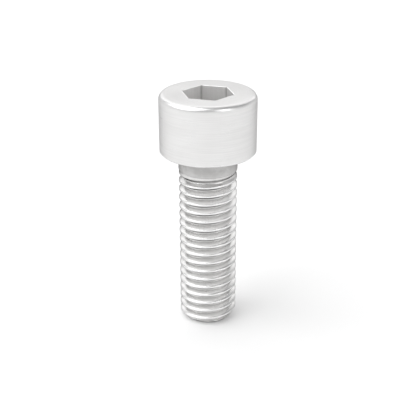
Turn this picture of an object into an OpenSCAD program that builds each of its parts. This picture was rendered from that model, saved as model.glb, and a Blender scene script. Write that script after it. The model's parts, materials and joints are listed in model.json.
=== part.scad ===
// Hex socket cap screw, M8 x 25: one forged piece with a rolled right-hand thread.
// It stands on its end, with the head at the top and z = 0 at the flat of the end.

/* [Lengths] */
// Nominal diameter, which is also that of the plain neck under the head
nominal_d = 8; // [7.6:0.1:8.4]
// From the head's bearing face to the end
length = 25; // [16:1:40]
// Plain neck between the head and the thread
neck_length = 2.5; // [1.5:0.25:3.75]
// Radius of the fillet between the neck and the bearing face
neck_fillet = 0.4; // [0.2:0.05:0.6]

/* [Head] */
// Head diameter
head_d = 13; // [12:0.1:15]
// Head height
head_h = 8; // [7:0.1:10]
// Radius round the top edge of the head
rim_rounding = 0.8; // [0.3:0.05:1.2]
// Small bevel round the bearing face
bearing_bevel = 0.15; // [0.05:0.05:0.3]

/* [Socket] */
// Width across flats of the key that drives the screw
key_width = 6; // [5:0.1:6.5]
// How much wider than the key the socket is
key_clearance = 0.06; // [0.02:0.01:0.14]
// Depth of the socket at its middle
socket_depth = 4.7; // [4:0.1:5.2]
// Slope of the socket's conical floor, in degrees
floor_slope = 9; // [4:1:15]

/* [Thread] */
// Distance from one turn to the next
pitch = 1.25; // [1:0.05:1.4]
// How much smaller than the nominal diameter the crests are
crest_allowance = 0.1; // [0.04:0.02:0.24]
// Turns over which the groove fades out below the neck
runout_turns = 1; // [0.5:0.25:1.5]
// Height of the 45 degree bevel on the end
end_bevel = 0.85; // [0.6:0.05:1]

/* [Hidden] */
$fn = 96;

// flat sides in one turn of the thread
turn_sides = 48;
// how far a cutting shape stands out past what it cuts, and one solid reaches into the next
overcut = 1;

head_r = head_d / 2;
neck_r = nominal_d / 2;
overall_length = length + head_h;
neck_end = length - neck_length;

// ISO metric profile: 60 degrees between the flanks, the root 17/24 of the sharp height deep
flank_angle = 30;
sharp_height = pitch / (2 * tan(flank_angle));
crest_r = neck_r - crest_allowance / 2;
root_r = neck_r - 17 / 24 * sharp_height;
root_flat = pitch / 6;
flank_length = (crest_r - root_r) * tan(flank_angle);

// The sweep ends inside the neck, half a turn up, and starts more than a turn below the flat
// end, where it is cut off
sweep_top = neck_end + pitch / 2;
sweep_turns = ceil(sweep_top / pitch + 1.5);
sweep_bottom = sweep_top - sweep_turns * pitch;
sweep_steps = sweep_turns * turn_sides;

// Half of the head and the neck, to be turned about the axis
module upper_profile() {
    rim_inset = head_r - rim_rounding;
    difference() {
        union() {
            translate([0, length]) square([rim_inset, head_h]);
            translate([0, length]) square([head_r, head_h - rim_rounding]);
            translate([rim_inset, overall_length - rim_rounding]) circle(rim_rounding);
        }
        translate([head_r, length])
            polygon([[-2, -1] * bearing_bevel, [1, -1] * bearing_bevel, [1, 2] * bearing_bevel]);
    }
    translate([0, neck_end]) square([neck_r, neck_length + overcut]);
    difference() {
        translate([0, length - neck_fillet]) square([neck_r + neck_fillet, neck_fillet + overcut]);
        translate([neck_r + neck_fillet, length - neck_fillet]) circle(neck_fillet);
    }
}

// A hexagon with a shallow cone for its floor, as the punch leaves it
module socket() {
    corner_r = (key_width + key_clearance) / sqrt(3);
    punch_r = corner_r + overcut;
    punch_h = socket_depth + overcut;
    translate([0, 0, overall_length - socket_depth])
        intersection() {
            cylinder(r = corner_r, h = punch_h, $fn = 6);
            rotate_extrude()
                polygon([[0, 0], [punch_r, punch_r * tan(floor_slope)], [punch_r, punch_h], [0, punch_h]]);
        }
}

// What share of its full depth the groove has at a height
function groove_share(z) = max(0, min(1, (neck_end - z) / (runout_turns * pitch)));

// The thread's profile at one step of the sweep: both edges of the root, then of the crest
function profile_at(step) =
    let (
        angle = 360 * step / turn_sides,
        z = sweep_bottom + pitch * step / turn_sides,
        groove_r = crest_r - (crest_r - root_r) * groove_share(z),
        outline = [
            [groove_r, z],
            [groove_r, z + root_flat],
            [crest_r, z + root_flat + flank_length],
            [crest_r, z + pitch - flank_length]
        ]
    )
    [for (p = outline) [p[0] * cos(angle), p[0] * sin(angle), p[1]]];

// The core and its thread, one profile swept along a right-hand helix and closed by two fans
module swept_thread() {
    points = [for (step = [0:sweep_steps]) each profile_at(step)];
    // corner 4 of a profile is corner 0 of the one a turn higher
    function corner(step, k) = k < 4 ? 4 * step + k : 4 * (step + turn_sides);
    sides = [
        for (step = [0:sweep_steps - 1], k = [0:step < sweep_steps - turn_sides ? 3 : 2])
            [corner(step, k), corner(step, k + 1), corner(step + 1, k + 1), corner(step + 1, k)]
    ];
    low_edge = concat([for (step = [0:turn_sides]) corner(step, 0)], [3, 2, 1]);
    high_edge = concat(
        [for (step = [sweep_steps - turn_sides:sweep_steps]) corner(step, 3)],
        [for (k = [2:-1:0]) corner(sweep_steps, k)]
    );
    low_hub = len(points);
    high_hub = low_hub + 1;
    count = len(low_edge);
    fans = [
        for (i = [0:count - 1]) each [
            [low_hub, low_edge[i], low_edge[(i + 1) % count]],
            [high_hub, high_edge[(i + 1) % count], high_edge[i]]
        ]
    ];
    hubs = [[0, 0, sweep_bottom], [0, 0, sweep_top]];
    polyhedron(concat(points, hubs), concat(sides, fans));
}

// All that lies below the flat end and outside its bevel
module end_cutter() {
    flat_r = neck_r - end_bevel;
    outer_r = neck_r + overcut;
    rotate_extrude()
        polygon([
            [0, 0],
            [flat_r, 0],
            [outer_r, outer_r - flat_r],
            [outer_r, sweep_bottom - overcut],
            [0, sweep_bottom - overcut]
        ]);
}

module cap_screw() {
    color("silver") union() {
        difference() {
            rotate_extrude() upper_profile();
            socket();
        }
        difference() {
            swept_thread();
            end_cutter();
        }
    }
}

cap_screw();
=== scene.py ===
import json
from math import atan2, cos, degrees, pi, radians, sin, sqrt, tan

import bmesh
import bpy
import numpy as np
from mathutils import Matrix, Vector


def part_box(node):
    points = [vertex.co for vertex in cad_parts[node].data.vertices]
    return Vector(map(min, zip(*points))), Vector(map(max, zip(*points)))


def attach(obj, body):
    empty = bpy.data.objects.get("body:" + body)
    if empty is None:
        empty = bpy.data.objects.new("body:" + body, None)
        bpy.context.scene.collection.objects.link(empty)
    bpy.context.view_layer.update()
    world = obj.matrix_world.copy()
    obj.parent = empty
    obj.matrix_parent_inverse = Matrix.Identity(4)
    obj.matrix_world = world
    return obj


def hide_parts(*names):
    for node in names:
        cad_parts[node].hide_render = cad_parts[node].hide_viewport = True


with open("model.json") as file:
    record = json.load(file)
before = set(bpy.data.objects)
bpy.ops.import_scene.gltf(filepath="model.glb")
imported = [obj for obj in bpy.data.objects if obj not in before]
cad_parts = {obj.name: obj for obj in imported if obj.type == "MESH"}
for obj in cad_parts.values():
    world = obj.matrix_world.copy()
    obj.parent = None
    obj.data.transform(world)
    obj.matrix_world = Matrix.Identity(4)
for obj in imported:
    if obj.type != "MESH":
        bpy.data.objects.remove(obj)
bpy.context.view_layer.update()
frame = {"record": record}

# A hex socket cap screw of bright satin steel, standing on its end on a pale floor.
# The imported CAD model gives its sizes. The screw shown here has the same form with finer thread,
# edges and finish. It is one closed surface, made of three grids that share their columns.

mm = 0.001
mounts = {mount["name"]: mount for mount in frame["record"]["mounts"]}
neck = mounts["neck"]["dims"]
boxLow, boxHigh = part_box("cap_screw")

# The screw, in millimetres and degrees
screw = dict(
    topZ=boxHigh.z / mm,
    headRadius=min(boxHigh.x, boxHigh.y, -boxLow.x, -boxLow.y) / mm,
    bearingZ=mounts["bearing_face"]["pos_m"][2] / mm,
    neckRadius=neck["r_mm"],
    neckLength=neck["length_mm"],  # plain part, without the fillet
    neckFillet=0.4,
    neckStep=0.05,  # small cone from the crests up to the neck
    bearingBevel=0.15,
    rimRounding=0.8,
    smallRounding=0.03,  # on the bearing bevel's edges and where the step meets the neck
    socketAcross=6.06,  # across the flats
    socketCorner=0.1,  # rounding in its six corners
    socketMouth=0.07,  # rounding round its mouth
    socketDepth=4.7,
    floorSlope=9,
    pitch=1.25,
    flankAngle=60,  # between a flank and the axis
    crestRadius=3.95,
    crestRounding=0.08,
    runoutTurns=1,
    endFlatRadius=3.15,  # where the end's 45 degree bevel starts
    endRounding=0.1,
    endHeight=0.035,  # where the end's rounded edge gives way to the thread
    bevelBlend=0.045,  # softening where the bevel cuts the thread
)
neckEnd = screw["bearingZ"] - screw["neckFillet"] - screw["neckLength"]
socketCorners = 6
sector = 360 / socketCorners  # degrees that one side of the socket takes up
print("sizes:", round(2 * screw["headRadius"], 2), "mm across the head,", round(screw["topZ"], 2), "mm high")

# How finely it is divided
fineness = dict(
    cornerSpread=0.85,  # degrees on each side of a socket corner
    cornerSteps=3,
    plainSteps=20,  # from one corner to the next
    degreesPerStep=9,  # round an edge
    straightStep=1.2,  # mm, the most between two rows on a straight stretch
    holding=0.02,  # mm from an edge to the row that keeps its flat face flat
    holdingShare=0.25,  # the most that this takes of a short stretch
    mouthSteps=5,
    rootSteps=4,
    flankSteps=3,
    crestSteps=3,
    mergeWithin=0.001,  # mm, for points that meet where two grids join
    sharpAngle=30,  # degrees between two faces, from which their edge is shaded sharp
)

# Where each grid lies on the flat map: its left side and its width, and one height for all
mapAreas = dict(thread=(0.01, 0.48), end=(0.51, 0.07), head=(0.59, 0.40), bottom=0.01, height=0.98)


def columnAngles():
    # Six equal sectors: in each the columns stand close at the socket's corner and evenly between corners
    spread = fineness["cornerSpread"]
    near = np.linspace(-spread, spread, 2 * fineness["cornerSteps"] + 1)
    far = np.linspace(spread, sector - spread, fineness["plainSteps"] + 1)[1:-1]
    turn = (sector * np.arange(socketCorners)[:, None] + np.concatenate([near, far])).ravel()
    return np.radians(np.append(turn, turn[0] + 360))


def straightShares(length):
    # Even shares of a straight stretch, with one more close to each end
    steps = int(np.ceil(length / fineness["straightStep"]))
    hold = min(fineness["holding"] / length, fineness["holdingShare"])
    return np.concatenate([[hold], np.linspace(0, 1, steps + 1)[1:-1], [1 - hold]])


def roundedOutline(corners):
    # A line through corners, each given as radius, height and rounding. It turns off before a corner by
    # the rounding times the tangent of half the turn, and follows the circle that touches both stretches
    point, rounding = np.array(corners)[:, :2], np.array(corners)[:, 2]
    rows, last = [point[:1]], point[0]
    for i in range(1, len(point)):
        start = finish = point[i]
        bend = point[i:i + 1]
        if rounding[i] > 0:
            before = (point[i] - point[i - 1]) / np.linalg.norm(point[i] - point[i - 1])
            after = (point[i + 1] - point[i]) / np.linalg.norm(point[i + 1] - point[i])
            turn = atan2(before[0] * after[1] - before[1] * after[0], before @ after)
            cut = rounding[i] * tan(abs(turn) / 2)
            start, finish = point[i] - cut * before, point[i] + cut * after
            outward = np.sign(turn) * rounding[i] * np.array([before[1], -before[0]])
            onward = np.array([-outward[1], outward[0]])
            steps = int(np.ceil(degrees(abs(turn)) / fineness["degreesPerStep"]))
            angle = turn * np.linspace(0, 1, steps + 1)[:, None]
            bend = start - outward + outward * np.cos(angle) + onward * np.sin(angle)
        share = straightShares(np.linalg.norm(start - last))[:, None]
        rows.append(last + (start - last) * share)
        rows.append(bend)
        last = finish
    return np.concatenate(rows)


def hexRadius(angle, grow):
    # The hexagon with rounded corners, larger by grow, as its distance from the axis at an angle: the
    # flats' distance over the cosine of the angle from a flat's middle, and near a corner the far side
    # of the corner's circle
    half = radians(sector / 2)
    flat = screw["socketAcross"] / 2 + grow
    corner = screw["socketCorner"] + grow
    fromCorner = np.radians(np.abs((np.degrees(angle) + sector / 2) % sector - sector / 2))
    centre = (flat - corner) / cos(half)
    tangent = atan2(corner * sin(half), centre + corner * cos(half))
    onFlat = flat / np.cos(half - fromCorner)
    aside = np.minimum(centre * np.sin(fromCorner), corner)
    onCircle = centre * np.cos(fromCorner) + np.sqrt(corner**2 - aside**2)
    return np.where(fromCorner < tangent, onCircle, onFlat)


def headGrid(angle):
    # The outline from the thread's end to the top's rim is turned about the axis. Then the rows go
    # from that circle to the hexagon, round the mouth, down the walls and in along the conical floor
    top, low, r = screw["topZ"], screw["bearingZ"], screw["headRadius"]
    neckRadius, bevel, small = screw["neckRadius"], screw["bearingBevel"], screw["smallRounding"]
    mouth, rim = screw["socketMouth"], r - screw["rimRounding"]
    outline = roundedOutline([
        [screw["crestRadius"], neckEnd, 0],
        [neckRadius, neckEnd + screw["neckStep"], small],
        [neckRadius, low, screw["neckFillet"]],
        [r - bevel, low, small],
        [r, low + bevel, small],
        [r, top, screw["rimRounding"]],
        [rim - fineness["holding"], top, 0],
    ])
    flat = 0 * angle
    outside = [outline[:, :1] + flat, outline[:, 1:] + flat]

    share = straightShares(rim - hexRadius(0, mouth))[1:, None]
    edge = hexRadius(angle, mouth)
    across = [outline[-1, 0] * (1 - share) + edge * share, top + 0 * share + flat]

    bend = np.linspace(0, radians(90), fineness["mouthSteps"] + 1)
    grow = mouth * (1 - np.sin(bend))
    rounded = [
        np.array([hexRadius(angle, g) for g in grow]),
        (top - mouth * (1 - np.cos(bend)))[:, None] + flat,
    ]

    wall = hexRadius(angle, 0)
    tip, slope = top - screw["socketDepth"], tan(radians(screw["floorSlope"]))
    foot = tip + wall * slope
    share = np.append(straightShares(screw["socketDepth"]), 1)[:, None]
    walls = [wall + 0 * share, (top - mouth) * (1 - share) + foot * share]

    share = np.append(1 - straightShares(screw["socketAcross"] / 2)[:-1], 0)[:, None]
    floor = [wall * share, tip + wall * share * slope]

    parts = [outside, across, rounded, walls, floor]
    socketStart = len(outside[0]) + len(across[0]) - 1  # rows of squares before the mouth
    return [np.concatenate([part[i] for part in parts]) for i in range(2)], socketStart


# The thread, by the standard profile: sharpRadius is where a groove's two flanks would meet. The root's
# circle and the crest's circle touch the flanks
flankAngle = radians(screw["flankAngle"])
flankSlope = tan(flankAngle)
pitch, crest = screw["pitch"], screw["crestRadius"]
sharpHeight = pitch / 2 * flankSlope
rootRounding = sharpHeight / 6
sharpRadius = screw["neckRadius"] - sharpHeight * 7 / 8
crestStart = (crest - sharpRadius + screw["crestRounding"] * (1 / cos(flankAngle) - 1)) / flankSlope
grooveMiddle = neckEnd + pitch / 2 + pitch / 12  # a groove's middle at angle 0, as in the CAD model


def halfGroove():
    # Distances from the groove's middle to the crest's: round the root, up the flank, round the crest
    root = rootRounding * np.sin(np.linspace(0, flankAngle, fineness["rootSteps"] + 1))
    turn = np.linspace(flankAngle, 0, fineness["crestSteps"] + 1)
    over = crestStart - screw["crestRounding"] * np.sin(turn)
    flank = np.linspace(root[-1], over[0], fineness["flankSteps"] + 1)[1:-1]
    return np.concatenate([root, flank, over, [pitch / 2]])


def threadRadius(angle, height):
    # By the distance from the groove's middle: a circle at the root, a straight flank, a circle at the
    # crest. Its depth fades out under the neck, and the end's bevel cuts off what stands outside it. Where
    # the two are near each other, the smaller is cut back by the square of how near they are
    away = np.abs((height - grooveMiddle - pitch * angle / (2 * pi) + pitch / 2) % pitch - pitch / 2)
    rootEdge = rootRounding * sin(flankAngle)
    rootCentre = sharpRadius + rootRounding / cos(flankAngle)
    inRoot = rootCentre - np.sqrt(rootRounding**2 - np.minimum(away, rootEdge) ** 2)
    onFlank = sharpRadius + away * flankSlope
    over = screw["crestRounding"]
    onCrest = crest - over + np.sqrt(over**2 - np.clip(crestStart - away, 0, over) ** 2)
    pastFlank = away > crestStart - over * sin(flankAngle)
    radius = np.where(away < rootEdge, inRoot, np.where(pastFlank, onCrest, onFlank))
    depthShare = np.clip((neckEnd - height) / (screw["runoutTurns"] * pitch), 0, 1)
    radius = crest - (crest - radius) * depthShare
    bevel = screw["endFlatRadius"] + height
    near = np.maximum(screw["bevelBlend"] - np.abs(radius - bevel), 0)
    return np.minimum(radius, bevel) - near**2 / (4 * screw["bevelBlend"])


def threadGrid(angle):
    # Rows that climb one pitch a turn, from two pitches below the end to one above the thread. Those past
    # either end are pressed onto it and merge there
    half = halfGroove()
    groove = np.concatenate([-half[:0:-1], half[:-1]])
    turns = np.arange(-2, np.ceil(neckEnd / pitch) + 1)
    rows = (grooveMiddle % pitch + pitch * turns[:, None] + groove).reshape(-1, 1)
    height = np.clip(rows + pitch * angle / (2 * pi), screw["endHeight"], neckEnd)
    return [threadRadius(angle, height), height]


def endGrid(angle):
    # The flat end from the axis outwards, and the rounded start of its bevel
    flat, high = screw["endFlatRadius"], screw["endHeight"]
    outline = roundedOutline([[0, 0, 0], [flat, 0, screw["endRounding"]], [flat + high, high, 0]])
    outline = np.delete(outline, 1, axis=0)  # there is no edge at the axis to hold
    return [outline[:, :1] + 0 * angle, outline[:, 1:] + 0 * angle]


def pointsOf(surface, angle):
    # The radius times the cosine and the sine of the angle, and the height
    radius, height = surface
    return np.stack([radius * np.cos(angle), radius * np.sin(angle), height], axis=-1)


def mapOf(points, area, sideways):
    # A grid's place on the flat map: its columns along one side, and its rows along the other by the
    # length that they cover on the surface. A grid that lies sideways has the two sides swapped
    length = np.linalg.norm(np.diff(points, axis=0), axis=2).max(axis=1)
    down = np.append(0, np.cumsum(length)) / length.sum()
    along = np.linspace(0, 1, points.shape[1])
    u, v = np.broadcast_arrays(along, down[:, None])
    if sideways:
        u, v = v, u
    left, width = area
    return np.stack([left + u * width, mapAreas["bottom"] + v * mapAreas["height"]], axis=-1)


def squaresOf(points, first):
    # Each square of a grid joins two neighbours in a row to the two in the next row
    index = first + np.arange(points.shape[0] * points.shape[1]).reshape(points.shape[:2])
    square = [index[:-1, :-1], index[:-1, 1:], index[1:, 1:], index[1:, :-1]]
    return np.stack(square, axis=-1)


def makeScrew():
    # The three grids become one mesh, and the points that meet where they join are merged, which closes it
    angle = columnAngles()
    head, socketStart = headGrid(angle)
    turnedSteel, rolledSteel, punchedSteel = range(3)  # places in the piece's list of materials
    # grid, its area on the flat map, whether it lies sideways there, its material
    plan = [
        (endGrid(angle), mapAreas["end"], True, turnedSteel),
        (threadGrid(angle), mapAreas["thread"], False, rolledSteel),
        (head, mapAreas["head"], True, turnedSteel),
    ]
    points, flatMap, squares, material, count = [], [], [], [], 0
    for surface, area, sideways, finish in plan:
        here = pointsOf(surface, angle)
        faces = squaresOf(here, count)
        finishes = np.full(faces.shape[:2], finish)
        if surface is head:
            finishes[socketStart:] = punchedSteel
        points.append(here.reshape(-1, 3))
        flatMap.append(mapOf(here, area, sideways).reshape(-1, 2))
        squares.append(faces.reshape(-1, 4))
        material.append(finishes.ravel())
        count += here.shape[0] * here.shape[1]
    points, flatMap = np.concatenate(points) * mm, np.concatenate(flatMap)
    squares, material = np.concatenate(squares), np.concatenate(material)

    mesh = bpy.data.meshes.new("capScrew")
    mesh.vertices.add(len(points))
    mesh.vertices.foreach_set("co", points.ravel())
    mesh.loops.add(squares.size)
    mesh.loops.foreach_set("vertex_index", squares.ravel())
    mesh.polygons.add(len(squares))
    mesh.polygons.foreach_set("loop_start", 4 * np.arange(len(squares)))
    mesh.polygons.foreach_set("material_index", material)
    mesh.update(calc_edges=True)
    layer = mesh.uv_layers.new(name="OFBake")
    layer.uv.foreach_set("vector", flatMap[squares.ravel()].ravel())

    work = bmesh.new()
    work.from_mesh(mesh)
    bmesh.ops.remove_doubles(work, verts=work.verts, dist=fineness["mergeWithin"] * mm)
    openEdges = sum(not edge.is_manifold for edge in work.edges)
    work.to_mesh(mesh)
    triangles = sum(len(face.verts) - 2 for face in work.faces)
    print("screw surface:", len(work.verts), "points,", triangles, "triangles,", openEdges, "open edges,",
          "volume", round(work.calc_volume(signed=True) / mm**3, 1), "mm3")
    work.free()
    mesh.polygons.foreach_set("use_smooth", np.ones(len(mesh.polygons), bool))
    mesh.set_sharp_from_angle(angle=radians(fineness["sharpAngle"]))
    piece = bpy.data.objects.new("capScrew", mesh)
    bpy.context.scene.collection.objects.link(piece)
    return piece


capScrew = makeScrew()
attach(capScrew, "root")
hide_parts("cap_screw")

nodeSpacing = 200  # between two nodes in the editor


def addNode(tree, kind, values=(), **settings):
    # A node with its settings. Each value goes on an input, or is another node's output to link there
    item = tree.nodes.new("ShaderNode" + kind)
    item.location = (nodeSpacing * len(tree.nodes), 0)
    for name, value in settings.items():
        setattr(item, name, value)
    for name, value in dict(values).items():
        if isinstance(value, bpy.types.NodeSocket):
            tree.links.new(value, item.inputs[name])
        else:
            item.inputs[name].default_value = value
    return item


def calculate(tree, operation, *values):
    return addNode(tree, "Math", enumerate(values), operation=operation).outputs[0]


def vectorOf(tree, operation, values):
    return addNode(tree, "VectorMath", values, operation=operation).outputs[0]


def between(tree, value, start, end, low=0.0, high=1.0):
    # Low up to start, high from end on, and a smooth rise or fall in between
    values = {"Value": value, "From Min": start, "From Max": end, "To Min": low, "To Max": high}
    return addNode(tree, "MapRange", values, interpolation_type="SMOOTHSTEP").outputs["Result"]


def addNoise(tree, values, span, **settings):
    # Noise, from none at the first value of its span to full at the second
    noise = addNode(tree, "TexNoise", values, **settings).outputs["Fac"]
    return between(tree, noise, *span)


def mixValue(tree, share, first, second):
    return addNode(tree, "Mix", {"Factor": share, 2: first, 3: second}, data_type="FLOAT").outputs[0]


def mixColour(tree, share, first, second, blend="MIX"):
    values = {"Factor": share, 6: first, 7: second}
    return addNode(tree, "Mix", values, data_type="RGBA", blend_type=blend).outputs[2]


def grey(level, warmth=0.0):
    # A near neutral steel colour: a little more red and less blue as warmth grows
    return (level * (1 + warmth), level, level * (1 - warmth), 1)


def addPlace(tree):
    # Object coordinates in millimetres, from the middle of the flat end
    return vectorOf(tree, "SCALE", {0: addNode(tree, "TexCoord").outputs["Object"], "Scale": 1 / mm})


def whereIs(tree):
    # Where a point is: its place, its direction and distance from the axis, and its height
    place = addPlace(tree)
    flat = vectorOf(tree, "MULTIPLY", {0: place, 1: (1, 1, 0)})
    return dict(
        place=place,
        around=vectorOf(tree, "NORMALIZE", {0: flat}),
        radius=addNode(tree, "VectorMath", {0: flat}, operation="LENGTH").outputs["Value"],
        height=addNode(tree, "SeparateXYZ", {0: place}).outputs["Z"],
    )


def ringDistance(tree, at, ringRadius, ringHeight):
    # How far a point is from a ring round the axis, in its own half plane
    across = calculate(tree, "SUBTRACT", at["radius"], ringRadius)
    up = calculate(tree, "SUBTRACT", at["height"], ringHeight)
    squares = calculate(tree, "MULTIPLY_ADD", across, across, calculate(tree, "MULTIPLY", up, up))
    return calculate(tree, "SQRT", squares)


# The effects that the finishes share. A span is a stretch of noise values that an effect fades in over
effects = dict(
    lineSpan=(0.3, 0.7),
    bandSpan=(0.35, 0.65),
    bandsPerLine=0.17,
    cloudSpan=(0.35, 0.68),
    cloudDistortion=0.4,
    grainSpan=(0.35, 0.65),
    gapSpan=(0.3, 0.7),
    gapsPerMm=1.3,
)
# Painted shade under the head, in millimetres: full up to one distance from the fillet and none from
# another, none near the bearing face's edge, and weaker in places
underHead = dict(fullTo=0.8, fadesAt=5.5, cleanEdge=0.6, cloudsPerMm=0.7, grain=0.2, thinnest=0.75)


def newGroup(name, inputs, output):
    # A group whose inputs are given as name, kind and the value that holds where a material gives none
    tree = bpy.data.node_groups.new(name, "ShaderNodeTree")
    for label, kind, value in inputs:
        socket = tree.interface.new_socket(label, in_out="INPUT", socket_type="NodeSocket" + kind)
        socket.default_value = value
    tree.interface.new_socket(output, in_out="OUTPUT", socket_type="NodeSocketFloat")
    return tree, tree.nodes.new("NodeGroupInput").outputs, tree.nodes.new("NodeGroupOutput").inputs


def fineMarksGroup():
    # Fine lines where Across changes, which run on along the vector Along. Broad bands weaken some of
    # them, by Unevenness
    tree, given, result = newGroup("fineMarks", [
        ("Across", "Float", 0), ("Along", "Vector", (0, 0, 0)), ("Lines per mm", "Float", 4),
        ("Unevenness", "Float", 0.5),
    ], "Marks")
    fine = calculate(tree, "MULTIPLY", given["Across"], given["Lines per mm"])
    broad = calculate(tree, "MULTIPLY", fine, effects["bandsPerLine"])
    values = {"Vector": given["Along"], "W": fine, "Scale": 1, "Detail": 2, "Roughness": 0.6}
    lines = addNoise(tree, values, effects["lineSpan"], noise_dimensions="4D")
    values = {"Vector": given["Along"], "W": broad, "Scale": 1, "Detail": 1, "Roughness": 0.5}
    bands = addNoise(tree, values, effects["bandSpan"], noise_dimensions="4D")
    banded = calculate(tree, "MULTIPLY", lines, bands)
    tree.links.new(mixValue(tree, given["Unevenness"], lines, banded), result["Marks"])
    return tree


def handlingGroup():
    # Soft clouds with a finer grain in them, as handling and washing leave on bare steel
    tree, given, result = newGroup("handling", [
        ("Clouds per mm", "Float", 0.35), ("Grain per mm", "Float", 5), ("Grain", "Float", 0.3),
    ], "Clouds")
    place = addPlace(tree)
    values = {"Vector": place, "Scale": given["Clouds per mm"], "Detail": 3,
              "Distortion": effects["cloudDistortion"]}
    clouds = addNoise(tree, values, effects["cloudSpan"])
    values = {"Vector": place, "Scale": given["Grain per mm"], "Detail": 2}
    grain = addNoise(tree, values, effects["grainSpan"])
    tree.links.new(mixValue(tree, given["Grain"], clouds, grain), result["Clouds"])
    return tree


def edgeWearGroup():
    # Strong where Distance from an edge is small, and gone at Width. Gaps from noise add to the distance
    tree, given, result = newGroup("edgeWear", [
        ("Distance", "Float", 1), ("Width", "Float", 0.3), ("Break-up", "Float", 0.5),
    ], "Wear")
    values = {"Vector": addPlace(tree), "Scale": effects["gapsPerMm"], "Detail": 3}
    gaps = calculate(tree, "MULTIPLY", addNoise(tree, values, effects["gapSpan"]), given["Break-up"])
    distance = calculate(tree, "MAXIMUM", given["Distance"], 0)
    far = calculate(tree, "MULTIPLY_ADD", gaps, given["Width"], distance)
    share = calculate(tree, "DIVIDE", far, given["Width"])
    tree.links.new(between(tree, share, 1, 0), result["Wear"])
    return tree


def underHeadShadeGroup():
    # Painted shade where the neck meets the head, weaker where Clouds are. It fades down the shank,
    # by the distance from the fillet, and out across the bearing face, by the radius
    tree, given, result = newGroup("underHead", [("Clouds", "Float", 0), ("Amount", "Float", 1)], "Shade")
    at = whereIs(tree)
    inner = screw["neckRadius"] + screw["neckFillet"]
    away = ringDistance(tree, at, inner, screw["bearingZ"])
    down = between(tree, away, underHead["fadesAt"], underHead["fullTo"])
    out = between(tree, at["radius"], screw["headRadius"] - underHead["cleanEdge"], inner)
    patchy = between(tree, given["Clouds"], 0, 1, 1, underHead["thinnest"])
    shade = calculate(tree, "MULTIPLY", calculate(tree, "MULTIPLY", down, out), patchy)
    tree.links.new(calculate(tree, "MULTIPLY", shade, given["Amount"]), result["Shade"])
    return tree


groups = dict(
    fineMarks=fineMarksGroup(),
    handling=handlingGroup(),
    edgeWear=edgeWearGroup(),
    underHead=underHeadShadeGroup(),
)
print("shared effects:", ", ".join(groups))


def useGroup(tree, name, values):
    # A shared effect with a material's own values
    return addNode(tree, "Group", values, node_tree=groups[name]).outputs[0]


def addUnderHeadShade(tree, amount):
    # The painted shade under the head, with clouds of its own
    values = {"Clouds per mm": underHead["cloudsPerMm"], "Grain": underHead["grain"]}
    clouds = useGroup(tree, "handling", values)
    return useGroup(tree, "underHead", {"Clouds": clouds, "Amount": amount})


# The warmth of the steel's greys: plain, in the clouds and where shade is painted
steel = dict(warmth=0.004, cloudWarmth=0.012, deepWarmth=0.008)


def steelMaterial(name, look, marks, shade, wear):
    # marks, shade and wear make what differs between the finishes, and shade is painted shade. In look, the
    # lines' grey goes from dark to light, deep is the grey multiplied in where shade is painted, worn is the
    # edges' grey, lineDepth is in millimetres, stretch lengthens highlights round the axis, and edgeTint is
    # the grey at grazing angles
    material = bpy.data.materials.new(name)
    material.use_nodes = True
    tree = material.node_tree
    tree.nodes.clear()
    at = whereIs(tree)
    lines, shaded, worn = marks(tree, at), shade(tree, at), wear(tree, at)
    clouds = useGroup(tree, "handling", {"Grain": look["grain"]})
    clouded = calculate(tree, "MULTIPLY", clouds, look["clouding"])

    colour = mixColour(tree, lines, grey(look["dark"], steel["warmth"]), grey(look["light"], steel["warmth"]))
    colour = mixColour(tree, clouded, colour, grey(look["dark"], steel["cloudWarmth"]))
    # Painted shade: the colour is multiplied by the deep grey where shade is painted
    colour = mixColour(tree, shaded, colour, grey(look["deep"], steel["deepWarmth"]), "MULTIPLY")
    colour = mixColour(tree, worn, colour, grey(look["worn"]))
    rough = calculate(tree, "MULTIPLY_ADD", lines, look["lineRoughness"], look["roughness"])
    rough = calculate(tree, "MULTIPLY_ADD", clouds, look["cloudRoughness"], rough)
    rough = calculate(tree, "MULTIPLY_ADD", worn, -look["wornPolish"], rough)

    values = {"Strength": 1, "Distance": look["lineDepth"] * mm, "Height": lines}
    bump = addNode(tree, "Bump", values).outputs["Normal"]
    shader = addNode(tree, "BsdfPrincipled", {
        "Base Color": colour, "Metallic": 1, "Roughness": rough, "Normal": bump,
        "Specular Tint": grey(look["edgeTint"]), "Anisotropic": look["stretch"],
    })
    if look["stretch"]:
        tangent = vectorOf(tree, "CROSS_PRODUCT", {0: (0, 0, 1), 1: at["around"]})
        tree.links.new(tangent, shader.inputs["Tangent"])
    output = addNode(tree, "OutputMaterial")
    tree.links.new(shader.outputs["BSDF"], output.inputs["Surface"])
    return material


# Turned: head, neck and flat end, with lines round the axis
turned = dict(
    dark=0.73, light=0.80, deep=0.5, worn=0.86,
    roughness=0.26, lineRoughness=0.08, cloudRoughness=0.06, wornPolish=0.04,
    linesPerMm=8, unevenness=0.35, lineDepth=0.0015,
    grain=0.1, clouding=0.25,
    stretch=0.6, edgeTint=0.4,
    underHead=1,
    rimWear=0.45, bevelWear=0.3,  # mm
)


def turnedMarks(tree, at):
    # The lines change with the height up the side, and with the radius across the flat faces
    across = calculate(tree, "SUBTRACT", at["height"], at["radius"])
    return useGroup(tree, "fineMarks", {
        "Across": across, "Along": at["around"], "Lines per mm": turned["linesPerMm"],
        "Unevenness": turned["unevenness"],
    })


def turnedShade(tree, at):
    # Painted shade under the head
    return addUnderHeadShade(tree, turned["underHead"])


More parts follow.
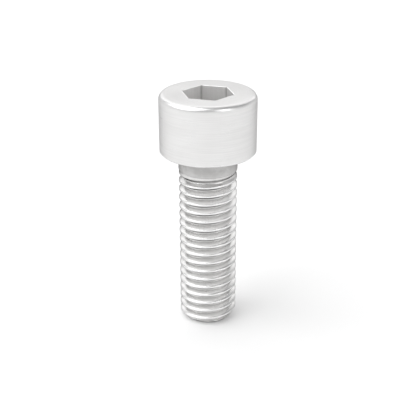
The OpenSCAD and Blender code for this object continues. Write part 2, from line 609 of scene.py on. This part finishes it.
def turnedWear(tree, at):
    # Along the middle of the rim's rounding, and along the upper edge of the bearing bevel
    inset = screw["rimRounding"] * (1 - cos(radians(45)))
    fromRim = ringDistance(tree, at, screw["headRadius"] - inset, screw["topZ"] - inset)
    fromBevel = ringDistance(tree, at, screw["headRadius"], screw["bearingZ"] + screw["bearingBevel"])
    rim = useGroup(tree, "edgeWear", {"Distance": fromRim, "Width": turned["rimWear"]})
    bevel = useGroup(tree, "edgeWear", {"Distance": fromBevel, "Width": turned["bevelWear"]})
    return calculate(tree, "MAXIMUM", rim, bevel)


# Rolled: the thread, with lines along its groove, bright crests and painted shade in the root
rolled = dict(
    dark=0.80, light=0.88, deep=0.60, worn=0.88,
    roughness=0.24, lineRoughness=0.10, cloudRoughness=0.04, wornPolish=0.08,
    linesPerMm=9, unevenness=0.5, lineDepth=0.003,
    alongPerMm=0.25,  # how fast a line changes along the groove
    grain=0.1, clouding=0.25,
    stretch=0.6, edgeTint=0,
    underHead=0.9,
    rootShade=0.6, rootStart=0.2,  # mm below the crests
    crestWear=0.12,  # mm
)


def rolledMarks(tree, at):
    # How far a point is from the crest's middle, up or down. Its height less what the helix has climbed at
    # its angle, counted in pitches, has phase 0 at a groove's middle and 0.5 at a crest's
    axes = addNode(tree, "SeparateXYZ", {0: at["place"]}).outputs
    turns = calculate(tree, "DIVIDE", calculate(tree, "ARCTAN2", axes["Y"], axes["X"]), 2 * pi)
    climbed = calculate(tree, "SUBTRACT", calculate(tree, "DIVIDE", at["height"], pitch), turns)
    phase = calculate(tree, "FRACT", calculate(tree, "SUBTRACT", climbed, grooveMiddle / pitch % 1))
    fromCrest = calculate(tree, "ABSOLUTE", calculate(tree, "SUBTRACT", phase, 0.5))
    along = vectorOf(tree, "ADD", {0: at["place"], 1: at["around"]})
    return useGroup(tree, "fineMarks", {
        "Across": calculate(tree, "MULTIPLY", fromCrest, pitch),
        "Along": vectorOf(tree, "SCALE", {0: along, "Scale": rolled["alongPerMm"]}),
        "Lines per mm": rolled["linesPerMm"], "Unevenness": rolled["unevenness"],
    })


def rolledShade(tree, at):
    # Painted shade: darker in the root, and on the turns next to the neck
    start, full = crest - rolled["rootStart"], sharpRadius + rootRounding
    root = between(tree, at["radius"], start, full, 0, rolled["rootShade"])
    return calculate(tree, "MAXIMUM", root, addUnderHeadShade(tree, rolled["underHead"]))


def rolledWear(tree, at):
    # On the crests, and less where the groove fades out and the whole surface lies as far out as they do
    below = calculate(tree, "SUBTRACT", crest, at["radius"])
    crests = useGroup(tree, "edgeWear", {"Distance": below, "Width": rolled["crestWear"]})
    return calculate(tree, "MULTIPLY", crests, between(tree, at["height"], neckEnd, neckEnd - pitch))


# Punched: the socket, with drag marks down its walls
punched = dict(
    dark=0.82, light=0.90, deep=0.62, worn=0.90,
    roughness=0.44, lineRoughness=0.12, cloudRoughness=0.08, wornPolish=0.12,
    linesPerMm=5, unevenness=0.5, lineDepth=0.005,
    downPerMm=0.15, driftPerMm=0.08,  # how fast a line changes and drifts down the wall
    grain=0.5, clouding=0.35,
    stretch=0, edgeTint=1,
    depthShade=0.25, depthStart=1,  # mm below the top
    cornerShade=0.8, cornerWidth=0.22,  # mm along a wall
    mouthWear=0.15,  # mm
)


def punchedMarks(tree, at):
    # The lines change fast with the place across and slowly with the height
    rates = (punched["linesPerMm"], punched["linesPerMm"], punched["downPerMm"])
    return useGroup(tree, "fineMarks", {
        "Across": at["height"], "Along": vectorOf(tree, "MULTIPLY", {0: at["place"], 1: rates}),
        "Lines per mm": punched["driftPerMm"], "Unevenness": punched["unevenness"],
    })


def punchedShade(tree, at):
    # Painted shade: darker with depth, and along the six corners, from as far out as a point that lies
    # cornerWidth along
    # a wall from the corner: its distance from the axis, by the cosine rule, as the wall meets the
    # corner's radius at 60 degrees
    top, width = screw["topZ"], punched["cornerWidth"]
    start, full = top - punched["depthStart"], top - screw["socketDepth"]
    deep = between(tree, at["height"], start, full, 0, punched["depthShade"])
    corner = hexRadius(0, 0)
    onWall = sqrt(corner**2 + width**2 - 2 * corner * width * cos(radians(sector)))
    corners = between(tree, at["radius"], onWall, corner, 0, punched["cornerShade"])
    return calculate(tree, "MAXIMUM", deep, corners)


def punchedWear(tree, at):
    below = calculate(tree, "SUBTRACT", screw["topZ"], at["height"])
    return useGroup(tree, "edgeWear", {"Distance": below, "Width": punched["mouthWear"]})


materials = [
    steelMaterial("turnedSteel", turned, turnedMarks, turnedShade, turnedWear),
    steelMaterial("rolledSteel", rolled, rolledMarks, rolledShade, rolledWear),
    steelMaterial("punchedSteel", punched, punchedMarks, punchedShade, punchedWear),
]
for material in materials:
    capScrew.data.materials.append(material)
print("finishes:", ", ".join(material.name for material in materials))


def placeAt(item, azimuth, elevation, distance, targetZ):
    # At a distance from a point on the axis, and facing it. Azimuth 0 is in front, on -Y, and grows
    # towards +X
    turn, rise = radians(azimuth), radians(elevation)
    away = Vector((sin(turn) * cos(rise), -cos(turn) * cos(rise), sin(rise)))
    item.location = (Vector((0, 0, targetZ)) + away * distance) * mm
    item.rotation_mode = "QUATERNION"
    item.rotation_quaternion = away.to_track_quat("Z", "Y")
    bpy.context.scene.collection.objects.link(item)


# Floor, world and lights, in millimetres and degrees
studio = dict(
    floorRadius=240, floorSides=96, floorGrey=0.94, floorRoughness=0.9,
    worldGrey=0.95, lowStrength=1.1, highStrength=0.35, fadeOver=50,
)
lights = dict(
    key=dict(azimuth=-60, elevation=55, distance=700, width=700, height=700, power=3.4),
    back=dict(azimuth=195, elevation=40, distance=600, width=900, height=600, power=1.7),
    front=dict(azimuth=60, elevation=40, distance=500, width=200, height=300, power=0.35),
)


def makeFloor():
    # A round floor: points at even angles and one radius, joined by one face
    angle = 2 * pi * np.arange(studio["floorSides"]) / studio["floorSides"]
    rim = studio["floorRadius"] * mm * np.stack([np.cos(angle), np.sin(angle), 0 * angle], axis=1)
    mesh = bpy.data.meshes.new("floor")
    mesh.from_pydata(rim.tolist(), [], [range(studio["floorSides"])])
    floor = bpy.data.objects.new("floor", mesh)
    bpy.context.scene.collection.objects.link(floor)
    material = bpy.data.materials.new("paleFloor")
    material.use_nodes = True
    shader = material.node_tree.nodes["Principled BSDF"]
    shader.inputs["Base Color"].default_value = grey(studio["floorGrey"])
    shader.inputs["Roughness"].default_value = studio["floorRoughness"]
    mesh.materials.append(material)


def makeWorld():
    # As bright as the floor up to the horizon, and dimmer above it by the height of the direction
    world = bpy.data.worlds.new("studio")
    bpy.context.scene.world = world
    world.use_nodes = True
    tree = world.node_tree
    background = tree.nodes["Background"]
    background.inputs["Color"].default_value = grey(studio["worldGrey"])
    up = addNode(tree, "SeparateXYZ", {0: addNode(tree, "TexCoord").outputs["Generated"]}).outputs["Z"]
    strength = between(tree, up, 0, sin(radians(studio["fadeOver"])), studio["lowStrength"],
                       studio["highStrength"])
    tree.links.new(strength, background.inputs["Strength"])


def makeLight(name, azimuth, elevation, distance, width, height, power):
    # A soft box that faces the middle of the screw
    data = bpy.data.lights.new(name, "AREA")
    data.shape = "RECTANGLE"
    data.size, data.size_y, data.energy = width * mm, height * mm, power
    placeAt(bpy.data.objects.new(name, data), azimuth, elevation, distance, screw["topZ"] / 2)


makeFloor()
makeWorld()
for name, light in lights.items():
    makeLight(name, **light)
bpy.context.scene.view_settings.view_transform = "Standard"
print("floor and light are in place")

# Camera, where the photograph's was
camera = dict(
    azimuth=15, elevation=24.77, distance=121.62, targetZ=16.47, fieldOfView=26.54,
    nearest=1, farthest=10000,  # mm, what it sees
)


def makeCamera():
    data = bpy.data.cameras.new("camera")
    data.angle = radians(camera["fieldOfView"])
    data.clip_start, data.clip_end = camera["nearest"] * mm, camera["farthest"] * mm
    item = bpy.data.objects.new("camera", data)
    placeAt(item, camera["azimuth"], camera["elevation"], camera["distance"], camera["targetZ"])
    bpy.context.scene.camera = item


makeCamera()
print("camera is in place")
